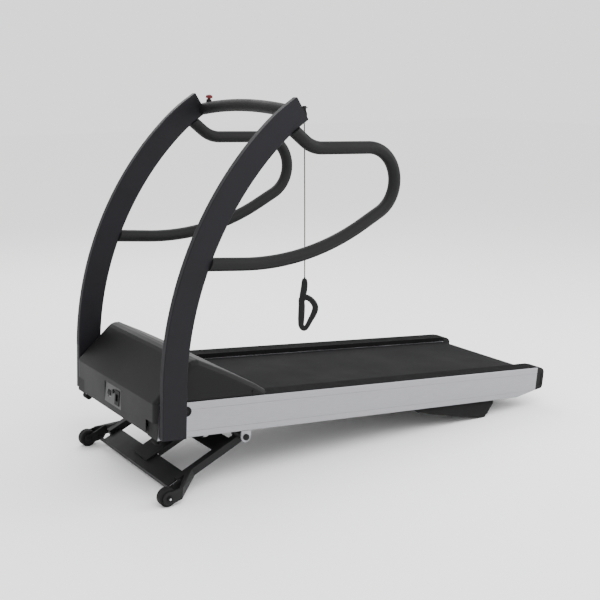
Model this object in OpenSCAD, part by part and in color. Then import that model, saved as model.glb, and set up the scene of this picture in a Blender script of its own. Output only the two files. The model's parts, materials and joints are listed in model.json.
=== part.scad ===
// Motorised walking and stress-test treadmill with curved uprights, wraparound
// handrails and a powered front lift frame. All sizes in millimetres, +Z up.
// The front of the machine is at -X, the user's left is -Y, the floor is Z = 0.

/* [Deck] */
// Width of the walking belt
belt_w = 559; // [520:1:600]
// Thickness of the walking belt
belt_t = 3; // [2:0.5:3.5]
// Radius of the two belt rollers
roller_r = 38; // [34:1:38]
// Width of each side rail
rail_w = 79.5; // [74:0.5:90]
// Wall thickness of the side rails
rail_wall = 4; // [3:0.5:5]
// Height of the anti-slip strip on the rails
strip_h = 2.5; // [1.5:0.5:3.5]

/* [Uprights and handrails] */
// Depth of the upright tube, seen from the side
upright_d = 97.8; // [90:0.1:104]
// Thickness of the upright tube, across the machine
upright_t = 29.4; // [26:0.1:32]
// Outside diameter of the handrail and crossbar tube
tube_d = 50; // [44:1:52]
// Wall of the handrail and crossbar tube
tube_wall = 2.5; // [2:0.5:4]

/* [Hood] */
// Wall of the motor hood
hood_wall = 3.5; // [3:0.5:5]
// Radius along the hood's shoulders
hood_r = 24; // [16:1:30]

/* [Lift frame] */
// Radius of the transport wheels
wheel_r = 35; // [33:0.5:36]
// Width of the transport wheels
wheel_w = 33; // [28:1:34]
// Size of the square lift arm tube
arm_s = 30; // [26:1:32]

/* [Safety tether] */
// Diameter of the safety cord
cord_d = 4.5; // [3.5:0.5:6]

/* [Hidden] */
$fn = 96;
incline = 5.872;                       // deck slope at rest
lift = 187.5 * cos(incline);           // puts the lowest point on Z = 0
x_shift = 1013.97;                      // centres the part along X
gap = belt_w + 16;                     // clear width between the rails
yi = gap / 2;                          // rail inner face
yo = yi + rail_w;                      // rail outer face
yu = yo + 3.6;                         // upright inner face
yh = yo + 19;                          // handrail centre plane
rail_front = -2020;
rail_rear = -39;
rail_h = 138;
belt_top = -22;
rz = belt_top - belt_t - 0.3 - roller_r;   // roller axis height
rx_f = -1905;                          // front roller axis
rx_r = -50;                            // rear roller axis
tr = tube_d / 2;
ti = tr - tube_wall;
// upright centre line: straight, then two arcs
u_x0 = -1967; u_z0 = -130; u_tilt = 3;
u_c1 = [-706.96, 120.25]; u_R1 = 1272.5; u_a1 = 45.65;
u_R2 = 735.5; u_a2 = 9.9;
u_top = 30;
u_c2 = u_c1 + (u_R1 - u_R2) * [cos(183 - u_a1), sin(183 - u_a1)];
// pivot and wheel of the lift frame
pv = [-1642, -164];
wx = -1970;
wz = (wheel_r - lift + wx * sin(incline)) / cos(incline);
arm_y = yi + 21.5;
arm_a = 29.07;
wy = yo + 3;                           // wheel centre plane
// top of the safety cord and its lower end, in deck coordinates
cx_t = -1470.5; cy_t = -340; cz_t = 1034;
cord_len = 590;
col_frame = [0.20, 0.20, 0.21]; col_post = [0.19, 0.19, 0.22];
col_lift = [0.17, 0.17, 0.175]; col_belt = [0.23, 0.23, 0.235];
col_rail = [0.66, 0.66, 0.67]; col_rub = [0.10, 0.10, 0.10];
col_steel = [0.62, 0.62, 0.63]; col_red = [0.50, 0.07, 0.09];

// ---------- helpers ----------
// deck coordinates to the part's frame
module deck() translate([x_shift, 0, lift]) rotate([0, incline, 0]) children();
module flip(s) { if (s < 0) children(); else mirror([0, 1, 0]) children(); }
// solid between two (x, z) points at y, along the deck's side plane
module seg(p, q, y, r, ri) {
    a = atan2(q[1] - p[1], q[0] - p[0]);
    translate([p[0], y, p[1]]) rotate([0, -a, 0]) rotate([0, 90, 0])
        translate([0, 0, -0.5]) linear_extrude(height = norm(q - p) + 1) ring(r, ri);
}
module stub(p, q, y, r) {
    a = atan2(q[1] - p[1], q[0] - p[0]);
    translate([p[0], y, p[1]]) rotate([0, -a, 0]) rotate([0, 90, 0]) cylinder(h = norm(q - p), r = r);
}
module ring(r, ri) difference() { circle(r = r, $fn = 64); circle(r = ri, $fn = 64); }
// bent tube in the plane y, centre c, from angle a0 over da
module bend(c, R, y, a0, da, r, ri, n)
    translate([c[0], y, c[1]]) rotate([90, 0, 0]) rotate([0, 0, a0])
        rotate_extrude(angle = da, $fn = n) translate([R, 0]) ring(r, ri);
// extrude a polygon of (x, z) points from y0 to y1
module side(pts, y0, y1)
    translate([0, y1, 0]) rotate([90, 0, 0]) linear_extrude(height = y1 - y0) polygon(pts);
// cylinder across the machine
module ycyl(x, z, y0, y1, r)
    translate([x, y0, z]) rotate([-90, 0, 0]) cylinder(h = y1 - y0, r = r);
module box(x0, x1, y0, y1, z0, z1)
    translate([x0, y0, z0]) cube([x1 - x0, y1 - y0, z1 - z0]);
module rrect(w, h, r) {
    square([w - 2 * r, h], center = true);
    square([w, h - 2 * r], center = true);
    for (i = [-1, 1], j = [-1, 1]) translate([i * (w / 2 - r), j * (h / 2 - r)]) circle(r = r, $fn = 32);
}
function dir(a) = [cos(a), sin(a)];

// ---------- side rails ----------
module rail_body() {
    rotate([90, 0, 90]) linear_extrude(height = rail_rear - rail_front)
        difference() {
            translate([-yi - rail_w / 2, -rail_h / 2 - strip_h / 2]) rrect(rail_w, rail_h - strip_h, 3);
            translate([-yi - rail_w / 2, -rail_h / 2 - strip_h / 2])
                rrect(rail_w - 2 * rail_wall, rail_h - strip_h - 2 * rail_wall, 1.5);
            // shallow grooves of the extrusion on the outer face
            for (z = [-30, -112]) translate([-yo, z]) square([2, 3], center = true);
        }
}
module side_rail(s) flip(s) color(col_rail) deck() difference() {
    translate([rail_front, 0, 0]) rail_body();
    // rear lower chamfer
    translate([-152, 0, -135]) rotate([0, -12.2, 0]) translate([-20, -yo - 5, -60]) cube([200, rail_w + 10, 60]);
    // roller shaft slots
    box(rx_f - 22, rx_f + 22, -yi - rail_wall - 1, -yi + 1, rz - 22, rz + 22);
    box(rx_r - 24, rail_rear + 1, -yi - rail_wall - 1, -yi + 1, rz - 12.3, rz + 12.3);
    // opening for the drive belt on the motor side
    if (s > 0) box(rx_f - 55, -1742, -yi - 48, -yi - 8, -strip_h - rail_wall - 2, 1);
    // upright bolts and grommet
    for (z = [-104, -66, -28]) ycyl(-1974, z, -yo - 1, -yo + rail_wall + 1, 6);
    ycyl(-1908, -37, -yo - 1, -yo + rail_wall + 1, 7);
}
module step_strip(s) flip(s) color(col_rub) deck() difference() {
    union() {
        box(-1561, rail_rear, -yo + 1.5, -yi + 1.5, -strip_h, 0);
        box(-1561, rail_rear, -yi, -yi + 1.5, -20, -strip_h + 0.1);
    }
    for (i = [0 : 6]) translate([0, -yo + 12 + i * 9, 0]) box(-1562, rail_rear + 1, 0, 2, -0.8, 1);
}
module end_cap(s) flip(s) color(col_rub) deck() difference() {
    union() {
        side([[rail_rear, -1], [-14, -4], [0, -12], [7, -24], [8, -60], [7, -94], [0, -104], [rail_rear, -110.5]], -yo, -yi);
        box(rail_rear - 22, rail_rear + 1, -yo + rail_wall + 0.2, -yo + rail_wall + 12, -100, -16);
    }
    // access hole of the tension bolt
    translate([rail_rear - 1, -yi - 12, rz]) rotate([0, 90, 0]) cylinder(h = 60, r = 9);
    // moulded recess
    translate([rail_rear + 10, -yo - 1, -90]) cube([22, 3, 62]);
}

// ---------- uprights ----------
u_p1 = [u_x0 - (53.7 - u_z0) * tan(u_tilt), 53.7];
module post_solid(d, t, e) {
    // straight foot
    a = 90 + u_tilt;
    translate([u_x0, 0, u_z0]) rotate([0, -a, 0]) translate([-e - 10, 0, 0]) rotate([0, 90, 0])
        linear_extrude(height = (53.7 - u_z0) / cos(u_tilt) + e + 11) rrect(d, t, 4);
    // lower and upper arcs
    translate([u_c1[0], 0, u_c1[1]]) rotate([90, 0, 0]) rotate([0, 0, 183 - u_a1]) 
        rotate_extrude(angle = u_a1, $fn = 360) translate([u_R1, 0]) rrect(d - 0.2, t - 0.2, 4);
    translate([u_c2[0], 0, u_c2[1]]) rotate([90, 0, 0]) rotate([0, 0, 183 - u_a1 - u_a2])
        rotate_extrude(angle = u_a2 + 0.06, $fn = 360) translate([u_R2, 0]) rrect(d, t, 4);
    // straight tip
    b = 183 - u_a1 - u_a2;
    translate([u_c2[0] + u_R2 * cos(b), 0, u_c2[1] + u_R2 * sin(b)]) rotate([0, -(b - 90), 0])
        translate([-1, 0, 0]) rotate([0, 90, 0]) linear_extrude(height = u_top + 1 + e) rrect(d - 0.2, t - 0.2, 4);
}
// plain envelope of the upright, used to cope the tubes that meet it
module post_core(d, t) {
    translate([u_c1[0], t / 2, u_c1[1]]) rotate([90, 0, 0]) linear_extrude(height = t) intersection() {
        difference() { circle(r = u_R1 + d / 2, $fn = 720); circle(r = u_R1 - d / 2, $fn = 720); }
        polygon([[0, 0], 2000 * dir(184), 2000 * dir(160), 2000 * dir(183 - u_a1)]);
    }
    translate([u_c2[0], t / 2, u_c2[1]]) rotate([90, 0, 0]) linear_extrude(height = t) intersection() {
        difference() { circle(r = u_R2 + d / 2, $fn = 720); circle(r = u_R2 - d / 2, $fn = 720); }
        polygon([[0, 0], 2000 * dir(183.01 - u_a1), 2000 * dir(183 - u_a1 - u_a2 - 12)]);
    }
}
module upright(s) flip(s) color(col_post) deck() difference() {
    translate([0, -yu - upright_t / 2, 0]) post_solid(upright_d, upright_t, 0);
    translate([0, -yu - upright_t / 2, 0]) post_solid(upright_d - 6, upright_t - 6, 3);
    box(-2100, -1850, -yu - upright_t - 1, -yu + 1, -170, -130);
    // bolts into the rail
    for (z = [-104, -66, -28]) ycyl(-1974, z, -yu - 4, -yu + 1, 6);
}
u_b = 183 - u_a1 - u_a2;
u_tip = [u_c2[0] + u_R2 * cos(u_b) + u_top * sin(u_b), u_c2[1] + u_R2 * sin(u_b) - u_top * cos(u_b)];
module upright_caps() color(col_rub) deck() for (s = [-1, 1]) flip(s)
    translate([u_tip[0], -yu - upright_t / 2, u_tip[1]]) rotate([0, -(u_b - 90), 0]) rotate([0, 90, 0]) {
        linear_extrude(height = 3) rrect(upright_d - 1, upright_t - 1, 4);
        translate([0, 0, -12]) linear_extrude(height = 12.5) rrect(upright_d - 7, upright_t - 7, 4);
    }
module upright_bolts() color(col_rub) deck() for (s = [-1, 1], z = [-104, -66, -28]) flip(s) {
    ycyl(-1974, z, -yu - 11, -yu - 3, 10);
    ycyl(-1974, z, -yu - 15, -yo + rail_wall, 5.95);
    ycyl(-1974, z, -yu, -yo, 12);
    ycyl(-1974, z, -yo + rail_wall, -yo + rail_wall + 8, 9.5);
}
module rail_grommets() color(col_rub) deck() for (s = [-1, 1]) flip(s) {
    difference() { ycyl(-1908, -37, -yo - 3.2, -yo, 19); ycyl(-1908, -37, -yo - 4, -yo - 1.2, 13); }
    ycyl(-1908, -37, -yo - 0.5, -yo + rail_wall, 6.95);
    ycyl(-1908, -37, -yo - 5, -yo - 1.3, 9);
    ycyl(-1908, -37, -yo + rail_wall, -yo + rail_wall + 6, 11);
}

// ---------- handrails ----------
h_c0 = [-1422.6, 1083]; h_R0 = 133.2; h_s = 3.73; h_b = 33.55;
h_R1 = 135.2; h_a = 32.04; h_R2 = 1019.3;
h_A0 = h_c0 + h_R0 * dir(-90 - h_b);
h_st = h_A0 - 110 * dir(-h_b);
h_T0 = h_c0 + h_R0 * dir(-90 + h_s);
h_T = h_T0 + 226.3 * dir(h_s);
h_c1 = h_T - h_R1 * dir(90 + h_s);
h_e = h_c1 + h_R1 * dir(-90 + h_a);
h_q = h_e + 92.9 * dir(180 + h_a);
h_c2 = h_q + h_R2 * dir(90 + h_a);
h_end = [h_c2[0], h_c2[1] - h_R2];
module handrail(s) flip(s) color(col_frame) deck() difference() {
    union() {
        seg(h_st, h_A0, -yh, tr, ti);
        bend(h_c0, h_R0, -yh, -90 - h_b, h_b + h_s, tr - 0.1, ti + 0.1, 180);
        seg(h_T0, h_T, -yh, tr, ti);
        bend(h_c1, h_R1, -yh, -90 + h_a, 180 - h_a + h_s, tr - 0.1, ti + 0.1, 96);
        seg(h_e, h_q, -yh, tr, ti);
        bend(h_c2, h_R2, -yh, -90, h_a, tr - 0.1, ti + 0.1, 360);
        seg(h_end, h_end - [150, 0], -yh, tr, ti);
        stub(h_st + 30 * dir(-h_b), h_st + 74 * dir(-h_b), -yh, ti + 1);
        stub(h_end - [150, 0], h_end - [112, 0], -yh, ti + 1);
    }
    // coped to the rear face of the upright
    translate([0, -yh, 0]) post_core(upright_d, 80);
}
b_s = 24.5;                                 // rise of the crossbar
b_R = (yu * yu + b_s * b_s) / (2 * b_s);
b_a = asin(yu / b_R);
module bar_arc(r)
    translate([-1507, 0, 1065 + b_s - b_R]) rotate([90, 0, 90]) rotate([0, 0, 90 - b_a - 1])
        rotate_extrude(angle = 2 * b_a + 2, $fn = 720) translate([b_R, 0]) circle(r = r, $fn = 64);
module front_crossbar() color(col_frame) deck() intersection() {
    difference() { bar_arc(tr); bar_arc(ti); }
    box(-1600, -1400, -yu, yu, 900, 1200);
}

// ---------- deck ----------
module deck_board() color([0.45, 0.36, 0.25]) deck() difference() {
    box(rx_f + 52, rx_r - 50, -belt_w / 2 + 6, belt_w / 2 - 6, belt_top - belt_t - 18.4, belt_top - belt_t - 0.4);
    for (x = [-1740, -1240, -660, -160], y = [-220, 220]) translate([x, y, -60]) cylinder(h = 24, r = 4);
}
module deck_isolators() color(col_rub) deck() for (x = [-1740, -1240, -660, -160], y = [-220, 220])
    translate([x, y, -62]) cylinder(h = 62 + belt_top - belt_t - 18.4, r = 16);
module cross_members() color(col_frame) deck() for (x = [-1740, -1240, -660, -160]) difference() {
    box(x - 26, x + 26, -yi, yi, -94, -62);
    box(x - 23, x + 23, -yi - 1, yi + 1, -91, -65);
}
module stadium(r, y0, y1) {
    ycyl(rx_f, rz, y0, y1, r); ycyl(rx_r, rz, y0, y1, r);
    box(rx_f, rx_r, y0, y1, rz - r, rz + r);
}
module running_belt() color(col_belt) deck() difference() {
    stadium(roller_r + 0.3 + belt_t, -belt_w / 2, belt_w / 2);
    stadium(roller_r + 0.3, -belt_w / 2 - 1, belt_w / 2 + 1);
}
module front_roller() color(col_steel) deck() {
    difference() {
        ycyl(rx_f, rz, -yi + 5, yi - 5, roller_r);
        ycyl(rx_f, rz, -yi, -yi + 15, roller_r - 6); ycyl(rx_f, rz, yi - 15, yi, roller_r - 6);
    }
    ycyl(rx_f, rz, -yi - 16, yi + 44, 9.95);
    // grooved pulley on the motor side
    difference() {
        ycyl(rx_f, rz, yi + 18, yi + 42, 34);
        for (i = [0 : 5]) translate([rx_f, yi + 22 + i * 3, rz]) rotate([-90, 0, 0])
            rotate_extrude() translate([32.6, 0]) square([3, 1.4], center = true);
    }
}
module rear_roller() color(col_steel) deck() {
    difference() {
        ycyl(rx_r, rz, -yi + 5, yi - 5, roller_r);
        ycyl(rx_r, rz, -yi, -yi + 15, roller_r - 6); ycyl(rx_r, rz, yi - 15, yi, roller_r - 6);
    }
    ycyl(rx_r, rz, -yi - 16, yi + 16, 9.95);
}
module roller_bearings() color(col_steel) deck() for (s = [-1, 1]) flip(s) {
    difference() {
        union() {
            box(rx_f - 26, rx_f + 26, -yi - 15, -yi - rail_wall, rz - 30, rz + 30);
            box(rx_f - 21.5, rx_f + 21.5, -yi - rail_wall - 0.5, -yi, rz - 21.5, rz + 21.5);
        }
        ycyl(rx_f, rz, -yi - 16, -yi + 1, 10);
    }
    difference() {
        union() {
            box(rx_r - 30, rail_rear - 0.2, -yi - 16, -yi - rail_wall, rz - 24, rz + 24);
            box(rx_r - 23.5, rail_rear - 0.2, -yi - rail_wall - 0.5, -yi, rz - 12, rz + 12);
        }
        ycyl(rx_r, rz, -yi - 17, -yi + 1, 10);
    }
}
module tension_bolts() color(col_steel) deck() for (s = [-1, 1]) flip(s)
    translate([0, -yi - 12, rz]) rotate([0, 90, 0]) difference() {
        union() {
            translate([0, 0, rail_rear - 0.2]) cylinder(h = 3.8 - rail_rear, r = 3.95);
            translate([0, 0, -6]) cylinder(h = 9, r = 6.5);
        }
        translate([0, 0, -0.5]) cylinder(h = 6, r = 3.1, $fn = 6);
    }

// ---------- drive, under the hood ----------
m_x = -1800; m_z = 48;
module motor_plate() color(col_frame) deck() difference() {
    union() {
        box(-1945, -1650, -yi, yi, -15, -10);
        for (s = [-1, 1]) flip(s) box(-1945, -1650, -yi, -yi + 5, -15, 0);
    }
    for (x = [-1920, -1675], y = [-200, 0, 200]) translate([x, y, -20]) cylinder(h = 20, r = 6);
}
module drive_motor() color([0.16, 0.16, 0.17]) deck() difference() {
    union() {
        ycyl(m_x, m_z, 20, 262, 50);
        ycyl(m_x, m_z, 262, 270, 44);
        ycyl(m_x, m_z, -6, 20, 46);
        for (y = [50, 210]) box(m_x - 42, m_x + 42, y, y + 22, -10, 20);
        for (i = [0 : 7]) ycyl(m_x, m_z, 34 + i * 28, 46 + i * 28, 52);
    }
    ycyl(m_x, m_z, -10, 280, 10);
}
module motor_shaft() color(col_steel) deck() {
    ycyl(m_x, m_z, -40, yi + 42, 9.95);
    difference() {
        ycyl(m_x, m_z, yi + 18, yi + 42, 24);
        for (i = [0 : 5]) translate([m_x, yi + 22 + i * 3, m_z]) rotate([-90, 0, 0])
            rotate_extrude() translate([22.6, 0]) square([3, 1.4], center = true);
    }
    ycyl(m_x, m_z, -38, -16, 48);
}
// open loop of the poly-v belt between the two pulleys
db_L = norm([m_x - rx_f, m_z - rz]); db_a = atan2(m_z - rz, m_x - rx_f);
db_k = asin((34.3 - 24.3) / db_L);
module loop_solid(r1, r2, y0, y1) {
    ycyl(rx_f, rz, y0, y1, r1); ycyl(m_x, m_z, y0, y1, r2);
    p = [rx_f, rz]; q = [m_x, m_z];
    side([p + r1 * dir(db_a + 90 - db_k), q + r2 * dir(db_a + 90 - db_k),
          q + r2 * dir(db_a - 90 + db_k), p + r1 * dir(db_a - 90 + db_k)], y0, y1);
}
module drive_belt() color(col_rub) deck() difference() {
    loop_solid(37.8, 27.8, yi + 20, yi + 40);
    loop_solid(34.3, 24.3, yi + 19, yi + 41);
}
module motor_controller() color([0.30, 0.31, 0.32]) deck() {
    box(-1900, -1700, -250, -70, -10, 38);
    for (i = [0 : 8]) box(-1890, -1710, -246 + i * 20, -240 + i * 20, 37, 58);
}
module elevation_motor() color([0.14, 0.14, 0.15]) deck() {
    ycyl(-1976, 2, -205, -58, 28);
    box(-1998, -1954, -60, -12, -30, 22);
    translate([-1976, -36, -72]) cylinder(h = 50, r = 15);
    box(-1992, -1960, -208, -12, -72, -62);
    for (y = [-208, -22]) box(-1990, -1964, y, y + 10, -130, -62);
    for (y = [-190, -84]) box(-1988, -1964, y, y + 12, -64, -18);
}

// ---------- motor hood ----------
// side outline, running on below and behind the visible part
hood_pts = [[-2024, -200], [-2036, -5], [-2032, 4], [-1912, 134], [-1900, 144], [-1884, 150.5], [-1866, 152],
    [-1846, 144], [-1760, 109], [-1690, 78], [-1600, 37], [-1500, -20], [-1500, -200]];
module hood_solid(d) hull() for (k = [0 : 5]) {
    hw = yo - 5 - hood_r + (hood_r - d) * sin(18 * k);
    translate([0, hw, 0]) rotate([90, 0, 0]) linear_extrude(height = 2 * hw)
        offset(delta = -d - (hood_r - d) * (1 - cos(18 * k))) polygon(hood_pts);
}
module motor_hood() color(col_frame) deck() difference() {
    hood_solid(0);
    difference() {
        hood_solid(hood_wall);
        // closing lip over the belt at the rear edge
        box(-1565, -1490, -400, 400, -250, 40);
    }
    box(-1560.5, -1400, -400, 400, -250, 200);
    box(-2100, -1400, -400, 400, -250, -128);
    // sits on the rails; drops in front of them
    box(-2020.3, -1500, -400, 400, -200, -18);
    for (s = [-1, 1]) flip(s) {
        box(-2020.3, -1500, -400, -yi + 1.2, -60, 0.3);
        box(-2100, -1500, -400, -yi + 1.5, -200, -76);
    }
    box(-1950, -1600, -yi + 8, yi - 8, -60, 0.3);
    // inlet panel seat, breaker and rocker holes, screws
    box(-2060, -2000, -70, 80, -104, -24);
    for (x = [-1960, -1620], s = [-1, 1]) translate([x, s * (yo - 5), 24 - (x > -1700 ? 10 : 0)]) rotate([90, 0, 0]) cylinder(h = 20, r = 4, center = true);
}
module hood_screws() color(col_steel) deck() for (s = [-1, 1], x = [-1960, -1620]) flip(s) {
    z = 24 - (x > -1700 ? 10 : 0);
    ycyl(x, z, -yo + 2.5, -yo + 5, 7);
    ycyl(x, z, -yo + 4, -yo + 5 + hood_wall + 8, 3.95);
}
module front_channel() color(col_frame) deck() difference() {
    union() {
        box(-2019, -1962, -yi, yi, -136, -130);
        box(-2019, -2014, -yi, yi, -136, -108);
        for (s = [-1, 1]) flip(s) { box(-2019, -1962, -yi, -yi + 6, -136, -80); 
            for (y = [-210, -96]) translate([-1990, y, -142]) cylinder(h = 8, r = 9, $fn = 6); }
    }
    for (y = [-160, -80, 0, 80, 160]) translate([-1988, y, -140]) cylinder(h = 12, r = 10);
}
module inlet_panel() color([0.72, 0.72, 0.72]) deck() difference() {
    // pressed half a millimetre into the hood's cut-out
    box(-2030, -2026, -70.5, 80.5, -104.5, -23.5);
    box(-2031, -2025, -49.1, -20.9, -89.1, -40.9);
    translate([-2032, 2, -48]) rotate([0, 90, 0]) cylinder(h = 8, r = 8);
    box(-2031, -2025, 25.9, 54.1, -79.2, -50.8);
}
module power_inlet() color(col_rub) deck() difference() {
    union() { box(-2032, -2012, -49, -21, -89, -41); box(-2033.5, -2030, -54, -16, -94, -36); }
    box(-2034, -2018, -45, -25, -79, -51);
    }
module breaker_button() color(col_rub) deck() translate([-2036, 2, -48]) rotate([0, 90, 0]) {
    cylinder(h = 24, r = 7.95); }
module power_rocker() color(col_rub) deck() difference() {
    union() { ycyl(-2016, -65, 26.5, 53.5, 17); }
    box(-2040, -2032.5, 20, 60, -90, -40);
    box(-2016, -1990, 20, 60, -90, -40);
}

// ---------- rear feet ----------
function foot_pts() = [[-760, -rail_h - 5], [-745, -160], [-550, -197], [-352, -224.5], [-336, -224], [-318, -205], [-289, -162], [-286, -rail_h - 5]];
module rear_foot(s) flip(s) color(col_rub) deck() difference() {
    side(foot_pts(), -yi - 56, -yi - 8);
    for (x = [-700, -340]) translate([x, -yi - 32, -rail_h - 30]) cylinder(h = 60, r = 5);
    // ground the toe flat on the floor
    translate([-345, 0, -187.5 + tan(incline) * -345]) rotate([0, -incline, 0]) translate([-500, -yo - 5, -30]) cube([1000, 400, 30]);
}
module foot_plates() color(col_frame) deck() for (s = [-1, 1]) flip(s) {
    box(-772, -276, -yi - 62, -yi - 2, -rail_h - 5, -rail_h);
    for (x = [-700, -340]) translate([x, -yi - 32, -rail_h - 22]) cylinder(h = 20, r = 4.95);
}

// ---------- lift frame ----------
module pivot_bracket(s) flip(s) color(col_rail) deck() for (y = [-yo, -yi - 6]) difference() {
    union() {
        ycyl(pv[0], pv[1], y, y + 6, 20.5);
        box(pv[0] - 20.5, pv[0] + 20.5, y, y + 6, pv[1], -rail_h);
    }
    ycyl(pv[0], pv[1], y - 1, y + 7, 10);
}
module pivot_pins() color(col_rub) deck() for (s = [-1, 1]) flip(s) {
    ycyl(pv[0], pv[1], -yo, -yi, 9.97);
    ycyl(pv[0], pv[1], -yo - 5, -yo, 12.5);
    ycyl(pv[0], pv[1], -yi, -yi + 5, 12.5);
}
// frame of the lift arm: x along the arm towards the wheel, z normal to it
module arm_frame() translate([pv[0], 0, pv[1]]) rotate([0, -arm_a, 0]) children();
module lift_arms() color(col_lift) deck() for (s = [-1, 1]) flip(s) difference() {
    union() {
        arm_frame() difference() {
            translate([-300, -arm_y - arm_s / 2, -17 - arm_s / 2]) cube([318, arm_s, arm_s]);
            translate([-297, -arm_y - arm_s / 2 + 3, -17 - arm_s / 2 + 3]) cube([320, arm_s - 6, arm_s - 6]);
        }
        ycyl(pv[0], pv[1], -yo + 7, -yi - 7, 17);
    }
    ycyl(pv[0], pv[1], -yo, -yi, 10.03);
}
iw = wy - wheel_w / 2 - 2.5;           // inner fork plate, outer side
module lift_front_plate() color(col_lift) deck() arm_frame() {
    union() {
        translate([-340, -arm_y + arm_s / 2, -24]) cube([84, 2 * arm_y - arm_s, 6]);
        translate([-340, -iw, -44]) cube([6, 2 * iw, 26]);
        translate([-262, -arm_y + arm_s / 2, -44]) cube([6, 2 * arm_y - arm_s, 26]);
    }
}
module lift_rear_plate() color(col_lift) deck() arm_frame()
    translate([-117, -arm_y + arm_s / 2, -12]) difference() {
        cube([80, 2 * arm_y - arm_s, 6]);
        for (y = [120, arm_y * 2 - arm_s - 120]) translate([40, y, -1]) cylinder(h = 8, r = 14);
    }
module lift_yoke() color(col_lift) deck() arm_frame() {
    for (y = [-60, 52]) translate([-250, y, -34]) cube([212, 8, 22]);
    translate([-306, -60, -18]) cube([268, 120, 6]);
    translate([-200, -14, -12.5]) cube([44, 10, 26]);
    translate([-200, 4, -12.5]) cube([44, 10, 26]);
}
module fork_side() {
    // tapered leg that spreads from the arm to the outer plate
    hull() {
        arm_frame() translate([-238, -arm_y - arm_s / 2, -32]) cube([4, arm_s, 30]);
        side([[-1930, -318], [-1918, -318], [-1918, -362], [-1930, -362]], -wy - wheel_w / 2 - 8.5, -wy - wheel_w / 2 - 2.5);
    }
}
module wheel_forks() color(col_lift) deck() for (s = [-1, 1]) flip(s) {
    difference() {
        union() {
            fork_side();
            // outer plate
            ycyl(wx, wz, -wy - wheel_w / 2 - 8.5, -wy - wheel_w / 2 - 2.5, 26);
            side([[wx + 6, wz + 25], [-1924, -318], [-1918, -318], [-1918, -362], [wx + 4, wz - 25.6], [wx - 10, wz]],
                -wy - wheel_w / 2 - 8.5, -wy - wheel_w / 2 - 2.5);
            // inner plate, reaching back to the front flange and along the leg
            ycyl(wx, wz, -iw, -iw + 6, 20);
            side([[wx + 4, wz + 19.6], [-1940, -322], [-1906, -302], [-1886, -318], [-1908, -360], [wx + 8, wz - 18], [wx - 10, wz]],
                -iw, -iw + 6);
        }
        // wheel pocket and axle
        ycyl(wx, wz, -wy - wheel_w / 2 - 2.4, -wy + wheel_w / 2 + 2.4, wheel_r + 4);
        ycyl(wx, wz, -wy - 60, -wy + 60, 8);
        // seats of the arm and of the front flange
        arm_frame() translate([-302, -arm_y - arm_s / 2, -70]) cube([150, arm_s + 60, 100]);
        arm_frame() translate([-340, -iw - 1, -44]) cube([6, iw, 26]);
    }
}
module axle_bolts() color(col_steel) deck() for (s = [-1, 1]) flip(s) {
    ycyl(wx, wz, -wy - wheel_w / 2 - 8.5, -wy + wheel_w / 2 + 8.5, 7.97);
    ycyl(wx, wz, -wy - wheel_w / 2 - 15, -wy - wheel_w / 2 - 8.5, 10.5);
    translate([wx, -wy + wheel_w / 2 + 8.5, wz]) rotate([-90, 0, 0]) cylinder(h = 7, r = 11, $fn = 6);
    // spacers beside the hub
    for (y = [-wy - wheel_w / 2 - 2.4, -wy + wheel_w / 2 + 0.4]) ycyl(wx, wz, y, y + 2, 11);
}
module wheel_tyre(s) flip(s) color(col_rub) deck() difference() {
    union() {
        ycyl(wx, wz, -wy - wheel_w / 2 + 3, -wy + wheel_w / 2 - 3, wheel_r);
        ycyl(wx, wz, -wy - wheel_w / 2, -wy + wheel_w / 2, wheel_r - 3);
        for (e = [-1, 1]) translate([wx, -wy + e * (wheel_w / 2 - 3), wz]) rotate([90, 0, 0])
            rotate_extrude() translate([wheel_r - 3, 0]) circle(r = 3, $fn = 32);
    }
    ycyl(wx, wz, -wy - wheel_w, -wy + wheel_w, wheel_r - 11);
}
module wheel_hub(s) flip(s) color([0.24, 0.24, 0.25]) deck() difference() {
    union() {
        ycyl(wx, wz, -wy - wheel_w / 2 + 2, -wy + wheel_w / 2 - 2, wheel_r - 11);
        ycyl(wx, wz, -wy - wheel_w / 2 - 0.2, -wy + wheel_w / 2 + 0.2, 14);
    }
    ycyl(wx, wz, -wy - wheel_w, -wy + wheel_w, 8.02);
    for (e = [-1, 1]) translate([wx, -wy + e * (wheel_w / 2 - 2), wz]) rotate([90, 0, 0]) difference() {
        cylinder(h = 8, r = wheel_r - 14, center = true); cylinder(h = 9, r = 14, center = true);
    }
}
module corner_bumpers() color(col_rub) deck() for (s = [-1, 1]) flip(s) {
    difference() {
        ycyl(-2000, -152.5, -yi - 48, -yi - 14, 14);
        ycyl(-2000, -152.5, -yi - 49, -yi - 43, 7);
        box(-2020, -1980, -yi - 70, -yi, -rail_h - 3, -120);
    }
    box(-2016, -1984, -yi - 50, -yi - 12, -rail_h - 3, -rail_h);
}

// ---------- e-stop on the crossbar ----------
e_y = 332; e_z = 1065 + b_s - b_R + sqrt(b_R * b_R - e_y * e_y);
module estop_base() color(col_rub) deck() translate([-1507, e_y, e_z]) difference() {
    // seats 3 mm into the top of the tube
    translate([0, 0, tr - 3]) cylinder(h = 13, r = 11.5);
    translate([0, 0, tr + 0.2]) cylinder(h = 20, r = 7.6);
}
module estop_button() color(col_red) deck() translate([-1507, e_y, e_z + tr]) {
    translate([0, 0, 7.2]) cylinder(h = 12, r = 7.54);
    translate([0, 0, 15.5]) cylinder(h = 10, r = 14.5);
    translate([0, 0, 25]) difference() { scale_cap(); translate([0, 0, -40]) cylinder(h = 40, r = 60); }
}
module scale_cap() translate([0, 0, -16]) intersection() { sphere(r = 21.6); cylinder(h = 40, r = 14.5); }

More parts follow.
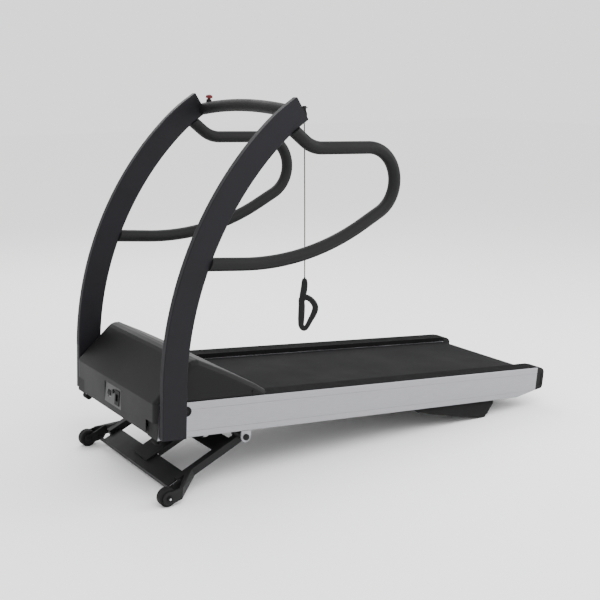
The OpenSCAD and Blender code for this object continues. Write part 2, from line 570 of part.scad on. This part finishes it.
// ---------- pull-cord switch ----------
s_x = cx_t; s_y = cy_t;
module plumb(x, y, z) translate([x, y, z]) rotate([0, -incline, 0]) children();
module ear(z) translate([0, 0, z]) linear_extrude(height = 3) difference() {
    polygon([[-9.5, -12], [3, -12], [16, 0], [3, 12], [-9.5, 12]]);
    circle(r = 6.1, $fn = 64);
}
module switch_bracket() color(col_frame) deck() plumb(s_x, s_y, cz_t) {
    ear(15);
    ear(58);
    // strap, welded to the back of the crossbar
    translate([-12.5, -12, 15]) cube([3.2, 24, 46]);
}
module switch_body() color(col_rub) deck() plumb(s_x, s_y, cz_t) difference() {
    union() {
        translate([0, 0, 18]) cylinder(h = 40, r = 7.2);
        translate([0, 0, 10]) cylinder(h = 9, r = 6);
        translate([0, 0, 57]) cylinder(h = 6, r = 6);
        translate([0, 0, 61]) cylinder(h = 5, r = 9, $fn = 6);
    }
    translate([0, 0, 4]) cylinder(h = 46, r = 4);
}
module switch_plunger() color(col_steel) deck() plumb(s_x, s_y, cz_t) {
    cylinder(h = 36, r = 3.95);
    cylinder(h = 4, r = 5.5);
}
// plumb line below the plunger, in the part's frame
function to_part(p) = [x_shift + p[0] * cos(incline) + p[2] * sin(incline), p[1], lift - p[0] * sin(incline) + p[2] * cos(incline)];
c_top = to_part([cx_t, cy_t, cz_t]);
function sway(t) = [1.6 * sin(180 * t), 1.2 * sin(180 * t)];
cord_n = 60;
function cord_pt(i) = let (t = i / cord_n) [c_top[0] + sway(t)[0], c_top[1] + sway(t)[1], c_top[2] - cord_len * t];
module swept(n, d, k) {
    pts = [for (i = [0 : n], j = [0 : k - 1]) let (p = cord_pt(i)) [p[0] + (i == 0 ? 0.4 : d / 2) * cos(360 * j / k), p[1] + (i == 0 ? 0.4 : d / 2) * sin(360 * j / k), p[2]]];
    faces = concat([[for (j = [0 : k - 1]) j]], [[for (j = [k - 1 : -1 : 0]) n * k + j]],
        [for (i = [0 : n - 1], j = [0 : k - 1]) [i * k + j, (i + 1) * k + j, (i + 1) * k + (j + 1) % k, i * k + (j + 1) % k]]);
    polyhedron(points = pts, faces = faces, convexity = 4);
}
module tether_cord() color([0.12, 0.12, 0.12]) swept(cord_n, cord_d, 10);
// webbing stirrup under the cord
module strap_handle() color([0.13, 0.13, 0.13]) translate([c_top[0], c_top[1], c_top[2] - cord_len]) rotate([0, 0, -34]) {
    translate([0, 0, -15]) cylinder(h = 15, r = 6);
    translate([0, 12.5, 0]) rotate([90, 0, 0]) linear_extrude(height = 25) difference() {
        polygon([[-8, -8], [8, -8], [11.5, -17], [11.5, -30], [9, -48], [7, -61], [14, -66], [30, -75], [42.5, -89], [52, -106],
            [55, -121], [49, -140], [41, -157], [28, -175], [19, -191], [14, -206], [4, -213], [-10, -207], [-24, -197],
            [-28, -189], [-27.5, -168], [-26, -139], [-24, -110], [-22, -81], [-19, -64], [-16, -47], [-13, -24], [-12, -15]]);
        polygon([[0, -91], [18, -92], [35, -100], [33.5, -116], [28, -138], [20, -158], [13, -176], [7, -188],
            [0, -192], [-5, -186], [-5, -162], [-4, -139], [-2.5, -116]]);
    }
}

side_rail(-1);  // left_side_rail
side_rail(1);  // right_side_rail
step_strip(-1);  // left_step_strip
step_strip(1);  // right_step_strip
end_cap(-1);  // left_end_cap
end_cap(1);  // right_end_cap
upright(-1);  // left_upright
upright(1);  // right_upright
upright_caps();
handrail(-1);  // left_handrail
handrail(1);  // right_handrail
front_crossbar();
upright_bolts();
rail_grommets();
deck_board();
deck_isolators();
cross_members();
running_belt();
front_roller();
rear_roller();
roller_bearings();
tension_bolts();
motor_plate();
drive_motor();
motor_shaft();
drive_belt();
motor_controller();
elevation_motor();
motor_hood();
hood_screws();
front_channel();
inlet_panel();
power_inlet();
breaker_button();
power_rocker();
rear_foot(-1);  // left_rear_foot
rear_foot(1);  // right_rear_foot
foot_plates();
pivot_bracket(-1);  // left_pivot_bracket
pivot_bracket(1);  // right_pivot_bracket
pivot_pins();
lift_arms();
lift_front_plate();
lift_rear_plate();
lift_yoke();
wheel_forks();
axle_bolts();
wheel_tyre(-1);  // left_wheel_tyre
wheel_tyre(1);  // right_wheel_tyre
wheel_hub(-1);  // left_wheel_hub
wheel_hub(1);  // right_wheel_hub
corner_bumpers();
estop_base();
estop_button();
switch_bracket();
switch_body();
switch_plunger();
tether_cord();
strap_handle();
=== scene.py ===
import json
import math

import bmesh
import bpy
from mathutils import Matrix, Vector


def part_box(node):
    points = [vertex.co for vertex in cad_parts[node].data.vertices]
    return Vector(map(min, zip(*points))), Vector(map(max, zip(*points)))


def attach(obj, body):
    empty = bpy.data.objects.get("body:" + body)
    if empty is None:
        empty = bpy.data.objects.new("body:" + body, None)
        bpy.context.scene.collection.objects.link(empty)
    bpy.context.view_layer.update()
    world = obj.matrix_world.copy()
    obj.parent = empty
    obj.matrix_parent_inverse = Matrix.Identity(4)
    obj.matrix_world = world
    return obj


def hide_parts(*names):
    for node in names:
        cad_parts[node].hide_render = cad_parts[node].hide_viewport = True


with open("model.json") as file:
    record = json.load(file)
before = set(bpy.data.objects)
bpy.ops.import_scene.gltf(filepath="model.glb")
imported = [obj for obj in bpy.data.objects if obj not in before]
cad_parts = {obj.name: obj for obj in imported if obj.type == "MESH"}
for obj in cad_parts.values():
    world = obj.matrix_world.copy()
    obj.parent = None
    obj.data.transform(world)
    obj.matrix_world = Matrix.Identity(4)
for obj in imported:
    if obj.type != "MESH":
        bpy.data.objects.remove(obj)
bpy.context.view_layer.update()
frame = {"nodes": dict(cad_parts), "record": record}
nodes, record = frame["nodes"], frame["record"]
scene = bpy.context.scene

# ---------- the deck's own frame ----------
TH = math.radians(5.872)
C, S = math.cos(TH), math.sin(TH)
SHIFT, LIFT = 1.01397, 0.1875 * C


def turn(v):
    return Vector((C * v[0] + S * v[2], v[1], -S * v[0] + C * v[2]))


def row(x, y, z):
    """A point given in deck millimetres, in the row frame in metres."""
    p = turn((x / 1000, y / 1000, z / 1000))
    return Vector((p.x + SHIFT, p.y, p.z + LIFT))


# ---------- camera ----------
yaw, pitch, roll = (math.radians(a) for a in (35.35, 9.727, 4.759))
cp, sp, cy, sy = math.cos(pitch), math.sin(pitch), math.cos(yaw), math.sin(yaw)
fwd = Vector((cp * sy, cp * cy, -sp))
right = Vector((cy, -sy, 0))
up = right.cross(fwd)
r2 = right * math.cos(roll) + up * math.sin(roll)
u2 = -right * math.sin(roll) + up * math.cos(roll)
cam_data = bpy.data.cameras.new("camera")
cam_data.lens, cam_data.sensor_width, cam_data.sensor_fit = 60.14, 36.0, "HORIZONTAL"
cam_data.clip_start, cam_data.clip_end = 0.05, 60
cam_data.dof.use_dof = False
cam = bpy.data.objects.new("camera", cam_data)
scene.collection.objects.link(cam)
axes = Matrix((turn(r2), turn(u2), -turn(fwd))).transposed()
cam.matrix_world = Matrix.Translation(row(-3647.9, -3475.9, 1018.6)) @ axes.to_4x4()
scene.camera = cam


# ---------- materials ----------
def material(name, color, rough, metal=0.0, grain=900.0, bump=0.12, depth=0.0003,
             stretch=(1, 1, 1), spread=0.22, blotch=9.0, pattern=None, coat=0.0, sheen=0.0):
    """Noise in the piece's own coordinates drives colour, roughness and bump."""
    m = bpy.data.materials.new(name)
    m.use_nodes = True
    t = m.node_tree
    n, link = t.nodes, t.links.new
    bsdf = n["Principled BSDF"]
    bsdf.inputs["Metallic"].default_value = metal
    bsdf.inputs["Coat Weight"].default_value = coat
    bsdf.inputs["Coat Roughness"].default_value = 0.12
    bsdf.inputs["Sheen Weight"].default_value = sheen
    bsdf.inputs["Specular IOR Level"].default_value = 0.5 if metal else (0.05 if "rubber" in name or "grip" in name else 0.12)
    coord = n.new("ShaderNodeTexCoord")
    level = n.new("ShaderNodeMapping")
    level.inputs["Rotation"].default_value = (0, -TH, 0)
    link(coord.outputs["Object"], level.inputs["Vector"])
    scale = n.new("ShaderNodeMapping")
    scale.inputs["Scale"].default_value = stretch
    link(level.outputs["Vector"], scale.inputs["Vector"])
    fine = n.new("ShaderNodeTexNoise")
    fine.inputs["Scale"].default_value = grain
    fine.inputs["Detail"].default_value = 3
    link(scale.outputs["Vector"], fine.inputs["Vector"])
    broad = n.new("ShaderNodeTexNoise")
    broad.inputs["Scale"].default_value = blotch
    broad.inputs["Detail"].default_value = 4
    link(level.outputs["Vector"], broad.inputs["Vector"])
    both = n.new("ShaderNodeMath")
    both.operation = "MULTIPLY_ADD"
    both.inputs[1].default_value = 0.5
    link(fine.outputs["Fac"], both.inputs[0])
    half = n.new("ShaderNodeMath")
    half.operation = "MULTIPLY"
    half.inputs[1].default_value = 0.5
    link(broad.outputs["Fac"], half.inputs[0])
    link(half.outputs[0], both.inputs[2])
    ramp = n.new("ShaderNodeValToRGB")
    ramp.color_ramp.elements[0].position = 0.32
    ramp.color_ramp.elements[1].position = 0.68
    ramp.color_ramp.elements[0].color = [c * (1 - spread) for c in color] + [1]
    ramp.color_ramp.elements[1].color = [min(1, c * (1 + spread)) for c in color] + [1]
    link(both.outputs[0], ramp.inputs["Fac"])
    link(ramp.outputs["Color"], bsdf.inputs["Base Color"])
    rr = n.new("ShaderNodeMapRange")
    rr.inputs["From Min"].default_value = 0.3
    rr.inputs["From Max"].default_value = 0.7
    rr.inputs["To Min"].default_value = max(0.05, rough - 0.07)
    rr.inputs["To Max"].default_value = min(1, rough + 0.07)
    link(broad.outputs["Fac"], rr.inputs["Value"])
    link(rr.outputs["Result"], bsdf.inputs["Roughness"])
    height = fine.outputs["Fac"]
    if pattern:
        # two crossed sets of ridges: a diamond or a weave
        pitch_, angle, gain = pattern
        waves = []
        for a in (angle, -angle):
            tilt = n.new("ShaderNodeMapping")
            tilt.inputs["Rotation"].default_value = (0, 0, math.radians(a))
            link(level.outputs["Vector"], tilt.inputs["Vector"])
            w = n.new("ShaderNodeTexWave")
            w.wave_type, w.bands_direction = "BANDS", "X"
            w.inputs["Scale"].default_value = 0.314 / pitch_
            link(tilt.outputs["Vector"], w.inputs["Vector"])
            waves.append(w.outputs["Fac"])
        mul = n.new("ShaderNodeMath")
        mul.operation = "MULTIPLY"
        link(waves[0], mul.inputs[0])
        link(waves[1], mul.inputs[1])
        add = n.new("ShaderNodeMath")
        add.operation = "MULTIPLY_ADD"
        add.inputs[1].default_value = gain
        link(mul.outputs[0], add.inputs[0])
        link(fine.outputs["Fac"], add.inputs[2])
        height = add.outputs[0]
    bn = n.new("ShaderNodeBump")
    bn.inputs["Strength"].default_value = bump
    bn.inputs["Distance"].default_value = depth
    link(height, bn.inputs["Height"])
    link(bn.outputs["Normal"], bsdf.inputs["Normal"])
    return m


M = {
    "rail_aluminium": material("rail_aluminium", (.27, .27, .287), .44, 1.0, 420, .06, .00015, (.05, 1, 1), .09, 6),
    "step_grip": material("step_grip", (0.0056, 0.0056, 0.0058), .82, 0, 700, .45, .0006, spread=.3),
    "moulded_black": material("moulded_black", (0.0052, 0.0052, 0.0054), .58, 0, 1100, .25, .0003, spread=.3),
    "post_paint": material("post_paint", (0.0074, 0.0072, 0.0092), .54, 0, 1300, .30, .0003, spread=.2),
    "frame_paint": material("frame_paint", (0.0084, 0.0084, 0.0087), .62, 0, 1300, .30, .0003, spread=.2),
    "chassis_paint": material("chassis_paint", (0.0059, 0.0059, 0.0060), .48, 0, 1000, .25, .0003, spread=.25),
    "deck_ply": material("deck_ply", (.42, .30, .17), .6, 0, 120, .2, .0004, (.05, 1, 1), .30, 14),
    "soft_rubber": material("soft_rubber", (0.0116, 0.0116, 0.0116), .80, 0, 800, .35, .0005, spread=.3),
    "belt_rubber": material("belt_rubber", (0.0072, 0.0072, 0.0077), .74, 0, 1500, .35, .0004, spread=.22, blotch=4, pattern=(.003, 45, .9)),
    "drive_rubber": material("drive_rubber", (.01, .01, .01), .7, 0, 900, .3, .0004),
    "bright_steel": material("bright_steel", (.50, .50, .51), .30, 1.0, 500, .06, .0002, (1, .05, 1), .12),
    "motor_paint": material("motor_paint", (.014, .014, .015), .4, 0, 900, .25, .0003),
    "heat_sink": material("heat_sink", (.38, .39, .40), .4, 1.0, 400, .06, .0002, (.05, 1, 1)),
    "hood_plastic": material("hood_plastic", (0.0052, 0.0052, 0.0053), .50, 0, 1500, .35, .0003, spread=.18, blotch=3),
    "panel_grey": material("panel_grey", (.060, .060, .061), .5, 0, 900, .15, .0002, spread=.15),
    "lift_paint": material("lift_paint", (0.0099, 0.0099, 0.0101), .50, 0, 1200, .35, .0003, spread=.25),
    "wheel_tyre": material("wheel_tyre", (0.0085, 0.0085, 0.0085), .75, 0, 700, .4, .0005, spread=.3),
    "wheel_hub": material("wheel_hub", (0.0090, 0.0090, 0.0094), .55, 0, 1000, .25, .0003, spread=.25),
    "stop_red": material("stop_red", (.085, .010, .012), .42, 0, 900, .05, .0001, spread=.12, coat=.15),
    "cord_sheath": material("cord_sheath", (.018, .018, .018), .8, 0, 2500, .6, .0003, spread=.4, pattern=(.0012, 30, 1.4), sheen=.1),
    "webbing": material("webbing", (.010, .010, .0104), .84, 0, 2200, .6, .0004, spread=.35, pattern=(.0016, 45, 1.6), sheen=.08),
}
slot_of = {s["node"]: s["material_slot"] for s in record["subparts"]}
for name, obj in nodes.items():
    obj.data.materials.clear()
    obj.data.materials.append(M[slot_of[name]])


# ---------- safety cord ----------
top = row(-1470.5, -340, 1034)
CORD, N = 0.590, 24
pts = []
for i in range(N + 1):
    k = i / N
    pts.append(top + Vector((.0016 * math.sin(math.pi * k), .0012 * math.sin(math.pi * k), -CORD * k)))
curve = bpy.data.curves.new("safety_cord", "CURVE")
curve.dimensions, curve.bevel_depth, curve.bevel_resolution = "3D", 0.00225, 4
curve.use_fill_caps = True
sp_ = curve.splines.new("POLY")
sp_.points.add(N)
for q, p in zip(sp_.points, pts):
    q.co = (*p, 1)
cord = bpy.data.objects.new("safety_cord", curve)
scene.collection.objects.link(cord)
curve.materials.append(M["cord_sheath"])


# ---------- mesh helpers ----------
def new_object(name, bm, mat, body):
    bmesh.ops.recalc_face_normals(bm, faces=bm.faces)
    me = bpy.data.meshes.new(name)
    bm.to_mesh(me)
    bm.free()
    for p in me.polygons:
        p.use_smooth = True
    me.materials.append(M[mat])
    o = bpy.data.objects.new(name, me)
    scene.collection.objects.link(o)
    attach(o, body)
    return o


# ---------- strap handle: sewn webbing loop under the cord ----------
low = pts[-1]
spin = Matrix.Rotation(math.radians(-34), 3, "Z")


def strap_place(x, y, z):
    return low + spin @ Vector((x, y, z)) / 1000


def band(name, spine, closed, depth):
    """A padded band: spine points are (x, z, half width) in the strap's plane, in millimetres."""
    dense = []
    n = len(spine)
    for i in range(n if closed else n - 1):
        g = lambda j: Vector(spine[j % n] if closed else spine[max(0, min(n - 1, j))])
        a, b, c, d = g(i - 1), g(i), g(i + 1), g(i + 2)
        for k in range(8):
            t = k / 8
            dense.append(.5 * ((2 * b) + (c - a) * t + (2 * a - 5 * b + 4 * c - d) * t * t + (3 * b - a - 3 * c + d) * t ** 3))
    if not closed:
        dense.append(Vector(spine[-1]))
    m, sides = len(dense), 28
    bm = bmesh.new()
    rings = []
    for i, p in enumerate(dense):
        a = dense[(i - 1) % m] if closed or i else p
        b = dense[(i + 1) % m] if closed or i < m - 1 else p
        t = Vector((b.x - a.x, b.y - a.y)).normalized()
        out = Vector((-t.y, t.x))
        ring = []
        for k in range(sides):
            q = 2 * math.pi * k / sides
            c, s_ = math.cos(q), math.sin(q)
            u = math.copysign(abs(c) ** .55, c) * p.z
            v = math.copysign(abs(s_) ** .55, s_) * depth / 2
            # the two plies meet in a shallow seam along each broad side
            v *= 1 - .13 * math.exp(-(u / (.16 * p.z)) ** 2)
            ring.append(bm.verts.new(strap_place(p.x + out.x * u, v, p.y + out.y * u)))
        rings.append(ring)
    for i in range(m if closed else m - 1):
        r, q = rings[i], rings[(i + 1) % m]
        for k in range(sides):
            bm.faces.new((r[k], r[(k + 1) % sides], q[(k + 1) % sides], q[k]))
    if not closed:
        bm.faces.new(rings[0])
        bm.faces.new(rings[-1])
    return new_object(name, bm, "webbing", "tether")


strap = band("strap_loop", [(-11, -84, 12.0), (-11.6, -110, 13.0), (-12.6, -139, 13.2), (-14, -168, 12.6), (-14, -190, 11.0), (-5, -203, 9.4),
                            (7, -197, 9.0), (22, -169, 9.8), (35, -144, 11.4), (41.5, -121, 12.2), (36.5, -103, 11.6), (23, -87, 10.8), (6, -78, 11.0)], True, 22)
stem = band("strap_stem", [(0, -5, 8.6), (-.5, -14, 11.4), (-.8, -28, 12.8), (-3, -47, 13.2), (-6.5, -66, 13.0), (-10, -90, 12.0)], False, 22.8)
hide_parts("strap_handle")
# ferrule on the cord
bm = bmesh.new()
prof = [(0.0, 2.0), (2.9, 2.0), (3.6, 0.6), (3.6, -4.5), (5.2, -6.2), (5.6, -8.5), (4.8, -12.0), (0.0, -12.6)]
rings = [[bm.verts.new(low + Vector((r * math.cos(2 * math.pi * k / 24), r * math.sin(2 * math.pi * k / 24), z)) / 1000) for k in range(24)] for r, z in prof[1:-1]]
for a, b in zip(rings, rings[1:]):
    for k in range(24):
        bm.faces.new((a[k], a[(k + 1) % 24], b[(k + 1) % 24], b[k]))
bm.faces.new(rings[0])
bm.faces.new(rings[-1])
ferrule = new_object("cord_ferrule", bm, "moulded_black", "tether")
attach(cord, "tether")
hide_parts("tether_cord")


# ---------- small turned ends on the wheel axles ----------
bolt_lo, bolt_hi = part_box("axle_bolts")
lowz = (35 - 187.5 * C - 1970 * S) / C
for side_ in (-1, 1):
    bm = bmesh.new()
    rings = [[bm.verts.new(row(-1970 + r * math.cos(2 * math.pi * k / 20), side_ * (bolt_hi[1] * 1000 + h), lowz + r * math.sin(2 * math.pi * k / 20)))
              for k in range(20)] for r, h in ((4.2, -.5), (4.2, .5), (3.5, 1.1), (2.0, 1.5))]
    for a, b in zip(rings, rings[1:]):
        for k in range(20):
            bm.faces.new((a[k], a[(k + 1) % 20], b[(k + 1) % 20], b[k]))
    bm.faces.new(rings[0])
    bm.faces.new(rings[-1])
    new_object("axle_end_left" if side_ < 0 else "axle_end_right", bm, "bright_steel", "lift_frame")

# ---------- black plates on the rails' open front ends: painted shade for the shadow that falls on the rail ends ---
for side_ in (-1, 1):
    outline = [(366.9, -.6), (362.0, -.6), (362.0, -76.6), (288.0, -76.6), (288.0, -132), (289.8, -136), (293, -137.8), (362, -137.8), (365.4, -136), (366.9, -132)]
    bm = bmesh.new()
    near, far = ([bm.verts.new(row(x, side_ * y, z)) for y, z in outline] for x in (-2020.1, -2021.7))
    bm.faces.new(near)
    bm.faces.new(far)
    for k in range(len(outline)):
        bm.faces.new((near[k], near[(k + 1) % len(outline)], far[(k + 1) % len(outline)], far[k]))
    # painted shade: a dark plate where the rail's front end lies in shadow
    shade_plate = new_object("rail_front_shade_plate_left" if side_ < 0 else "rail_front_shade_plate_right", bm, "moulded_black", "frame")
    for p in shade_plate.data.polygons:
        p.use_smooth = False
    soft = shade_plate.modifiers.new("edge", "BEVEL")
    soft.width, soft.segments = .0005, 2

# ---------- plugs just inside the crossbar's two ends ----------
for side_ in (-1, 1):
    bm = bmesh.new()
    rings = [[bm.verts.new(row(-1507 + r * math.cos(2 * math.pi * k / 48), side_ * y, 1065 + (370.6 - y) * .1334 + r * math.sin(2 * math.pi * k / 48)))
              for k in range(48)] for r, y in ((21.9, 364), (21.9, 369.3), (21.3, 369.9), (19.5, 370.2), (8, 370.35))]
    for a, b in zip(rings, rings[1:]):
        for k in range(48):
            bm.faces.new((a[k], a[(k + 1) % 48], b[(k + 1) % 48], b[k]))
    bm.faces.new(rings[0])
    bm.faces.new(rings[-1])
    new_object("crossbar_plug_left" if side_ < 0 else "crossbar_plug_right", bm, "moulded_black", "frame")

# ---------- floor and light ----------
fm = bpy.data.materials.new("pale_floor")
fm.use_nodes = True
fb = fm.node_tree.nodes["Principled BSDF"]
fb.inputs["Base Color"].default_value = (.97, .97, .97, 1)
fb.inputs["Roughness"].default_value = .85
bm = bmesh.new()
bmesh.ops.create_grid(bm, x_segments=2, y_segments=2, size=20)
me = bpy.data.meshes.new("floor")
bm.to_mesh(me)
bm.free()
me.materials.append(fm)
floor = bpy.data.objects.new("floor", me)
scene.collection.objects.link(floor)

world = bpy.data.worlds.new("studio")
scene.world = world
world.use_nodes = True
world.node_tree.nodes["Background"].inputs["Color"].default_value = (1, 1, 1, 1)
world.node_tree.nodes["Background"].inputs["Strength"].default_value = 1.6


def lamp(name, where, aim, size, power):
    d = bpy.data.lights.new(name, "AREA")
    d.shape, d.size, d.energy = "SQUARE", size, power
    o = bpy.data.objects.new(name, d)
    o.location = where
    o.rotation_mode = "QUATERNION"
    o.rotation_quaternion = (Vector(aim) - Vector(where)).to_track_quat("-Z", "Y")
    scene.collection.objects.link(o)


lamp("key", (-.9, -3.0, 4.3), (.1, 0, .5), 3.0, 150)
lamp("fill", (3.6, -2.4, 2.6), (.5, 0, .3), 2.6, 150)
lamp("back", (.5, 3.4, 3.6), (0, 0, .6), 3.0, 110)
